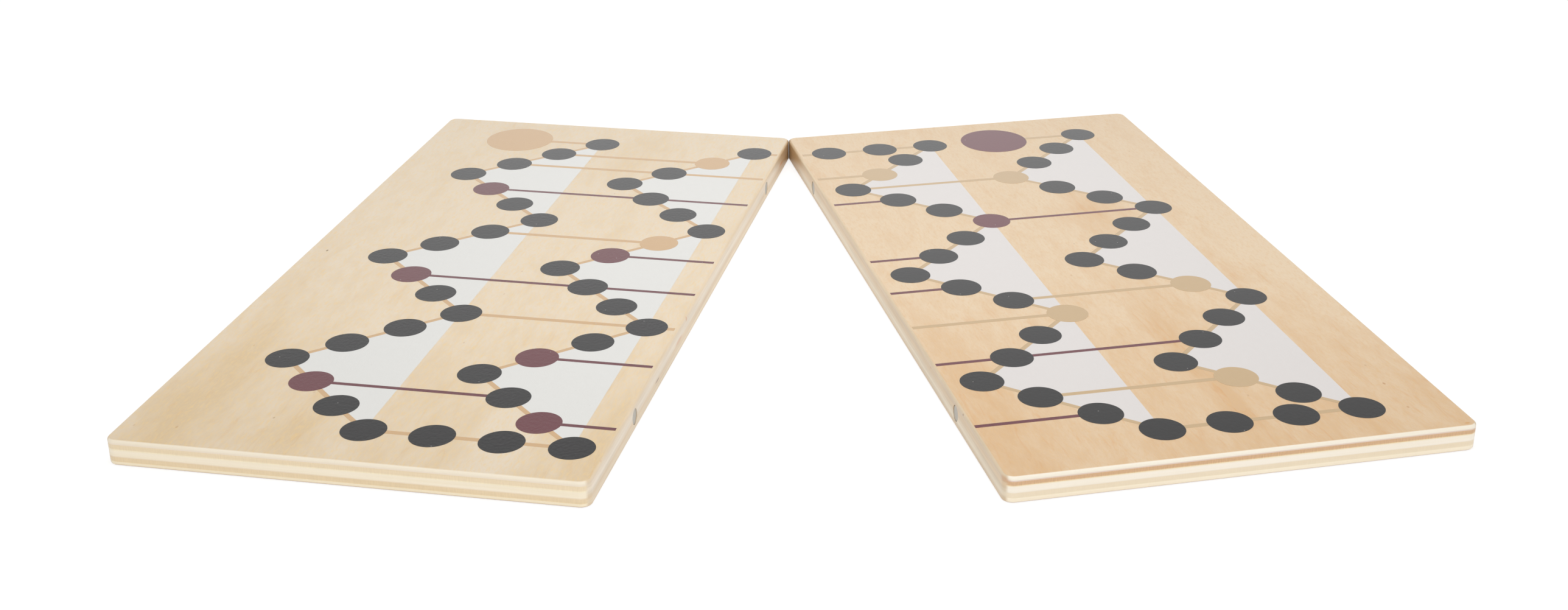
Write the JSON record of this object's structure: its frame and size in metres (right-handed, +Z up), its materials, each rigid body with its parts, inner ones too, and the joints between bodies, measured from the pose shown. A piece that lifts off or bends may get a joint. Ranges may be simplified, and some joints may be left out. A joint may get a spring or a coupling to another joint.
{
  "type": "two-piece plywood board game board",
  "caption": "Flat plywood game board in loose halves lying in a V, with a printed track of round spots and lines, and magnets in the mating edges.",
  "frame": {"origin": "middle of the object's box in plan, on the table it lies on", "axes": "+X runs across the V, from the left half to the right half; +Y runs away from the mouth of the V, towards the touching corners; +Z is up, out of the printed faces"},
  "size_m": [0.4778, 0.3762, 0.01],
  "materials": {
    "left_face_wood": "sanded bare face veneer, pale",
    "right_face_wood": "sanded bare face veneer, warm",
    "crossband_wood": "sanded plywood edge, tan",
    "brown_crossband_wood": "sanded plywood edge, reddish brown",
    "core_wood": "sanded plywood edge, cream",
    "magnet_plating": "satin nickel plating",
    "white_ink": "satin printed ink",
    "tan_ink": "satin printed ink",
    "plum_ink": "satin printed ink",
    "black_ink": "satin printed ink"
  },
  "bodies": {
    "left_half": {"left_bottom_veneer": "left_face_wood", "left_lower_crossband": "crossband_wood", "left_core": "core_wood", "left_upper_crossband": "crossband_wood", "left_top_veneer": "left_face_wood", "left_far_magnet": "magnet_plating", "left_near_magnet": "magnet_plating", "left_white_fields": "white_ink", "left_tan_lines": "tan_ink", "left_plum_lines": "plum_ink", "left_black_spots": "black_ink", "left_plum_spots": "plum_ink", "left_tan_spots": "tan_ink"},
    "right_half": {"right_bottom_veneer": "right_face_wood", "right_lower_crossband": "crossband_wood", "right_core": "core_wood", "right_upper_crossband": "brown_crossband_wood", "right_top_veneer": "right_face_wood", "right_far_magnet": "magnet_plating", "right_near_magnet": "magnet_plating", "right_white_fields": "white_ink", "right_tan_lines": "tan_ink", "right_plum_lines": "plum_ink", "right_black_spots": "black_ink", "right_plum_spots": "plum_ink", "right_tan_spots": "tan_ink"}
  },
  "joints": [
    {"name": "half_swing", "type": "hinge", "parent": "left_half", "child": "right_half", "pos_m": [0, 0.15061, 0.005], "axis": [0, 0, 1], "range_deg": [-23, 0]}
  ]
}
